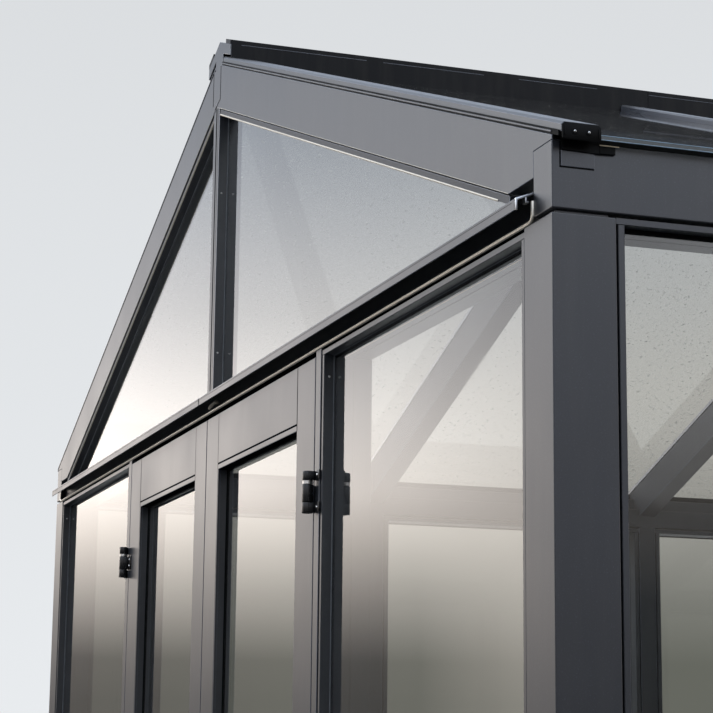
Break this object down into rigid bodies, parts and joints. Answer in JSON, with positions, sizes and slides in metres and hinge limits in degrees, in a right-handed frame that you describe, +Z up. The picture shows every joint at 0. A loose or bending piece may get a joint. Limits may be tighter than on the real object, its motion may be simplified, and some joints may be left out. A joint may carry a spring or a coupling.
{
  "type": "glass greenhouse",
  "caption": "Walk-in glass greenhouse: anthracite aluminium frame, glazed walls, gables and pitched roof, outward double doors in one gable.",
  "frame": {"origin": "on the ground, in the middle of the plan", "axes": "+Z up, +Y along the ridge away from the gable with the doors, +X to the right when facing that gable"},
  "size_m": [3.896, 6.116, 3.092],
  "materials": {
    "powder_coated_frame": "satin anthracite powder coat",
    "clear_glass": "clear toughened glass",
    "black_plastic": "moulded matt black",
    "black_metal": "matt black coat"
  },
  "bodies": {
    "house": {"corner_posts": "powder_coated_frame", "rear_wall_posts": "powder_coated_frame", "door_posts": "powder_coated_frame", "base_sills": "powder_coated_frame", "door_threshold": "powder_coated_frame", "front_tie_beam": "powder_coated_frame", "rear_tie_beam": "powder_coated_frame", "drip_ledges": "powder_coated_frame", "front_rake_boards": "powder_coated_frame", "rear_rake_boards": "powder_coated_frame", "ridge_beam": "powder_coated_frame", "ridge_cap": "black_metal", "ridge_cap_strips": "black_plastic", "ridge_end_plates": "powder_coated_frame", "eave_seals": "black_plastic", "cap_end_plugs": "black_plastic", "gable_posts": "powder_coated_frame", "gable_glass": "clear_glass", "rake_beads": "powder_coated_frame", "frame_hinges": "black_metal", "gable_window_stiles": "powder_coated_frame", "gable_window_rails": "powder_coated_frame", "gable_window_glass": "clear_glass", "left_wall_posts": "powder_coated_frame", "left_eave_beam": "powder_coated_frame", "left_rafters": "powder_coated_frame", "left_glazing_caps": "powder_coated_frame", "left_roof_glass": "clear_glass", "left_window_stiles": "powder_coated_frame", "left_window_rails": "powder_coated_frame", "left_window_glass": "clear_glass", "right_wall_posts": "powder_coated_frame", "right_eave_beam": "powder_coated_frame", "right_rafters": "powder_coated_frame", "right_glazing_caps": "powder_coated_frame", "right_roof_glass": "clear_glass", "right_window_stiles": "powder_coated_frame", "right_window_rails": "powder_coated_frame", "right_window_glass": "clear_glass"},
    "right_door": {"right_door_stiles": "powder_coated_frame", "right_door_rails": "powder_coated_frame", "right_door_glass": "clear_glass", "right_door_hinges": "black_metal", "right_door_handle": "powder_coated_frame"},
    "left_door": {"left_door_stiles": "powder_coated_frame", "left_door_rails": "powder_coated_frame", "left_door_glass": "clear_glass", "left_door_hinges": "black_metal"}
  },
  "joints": [
    {"name": "right_door_hinge", "type": "hinge", "parent": "house", "child": "right_door", "pos_m": [0.81975, -3.034, 1.09], "axis": [0, 0, 1], "range_deg": [0, 100]},
    {"name": "left_door_hinge", "type": "hinge", "parent": "house", "child": "left_door", "pos_m": [-0.81975, -3.034, 1.09], "axis": [0, 0, -1], "range_deg": [0, 100]}
  ]
}
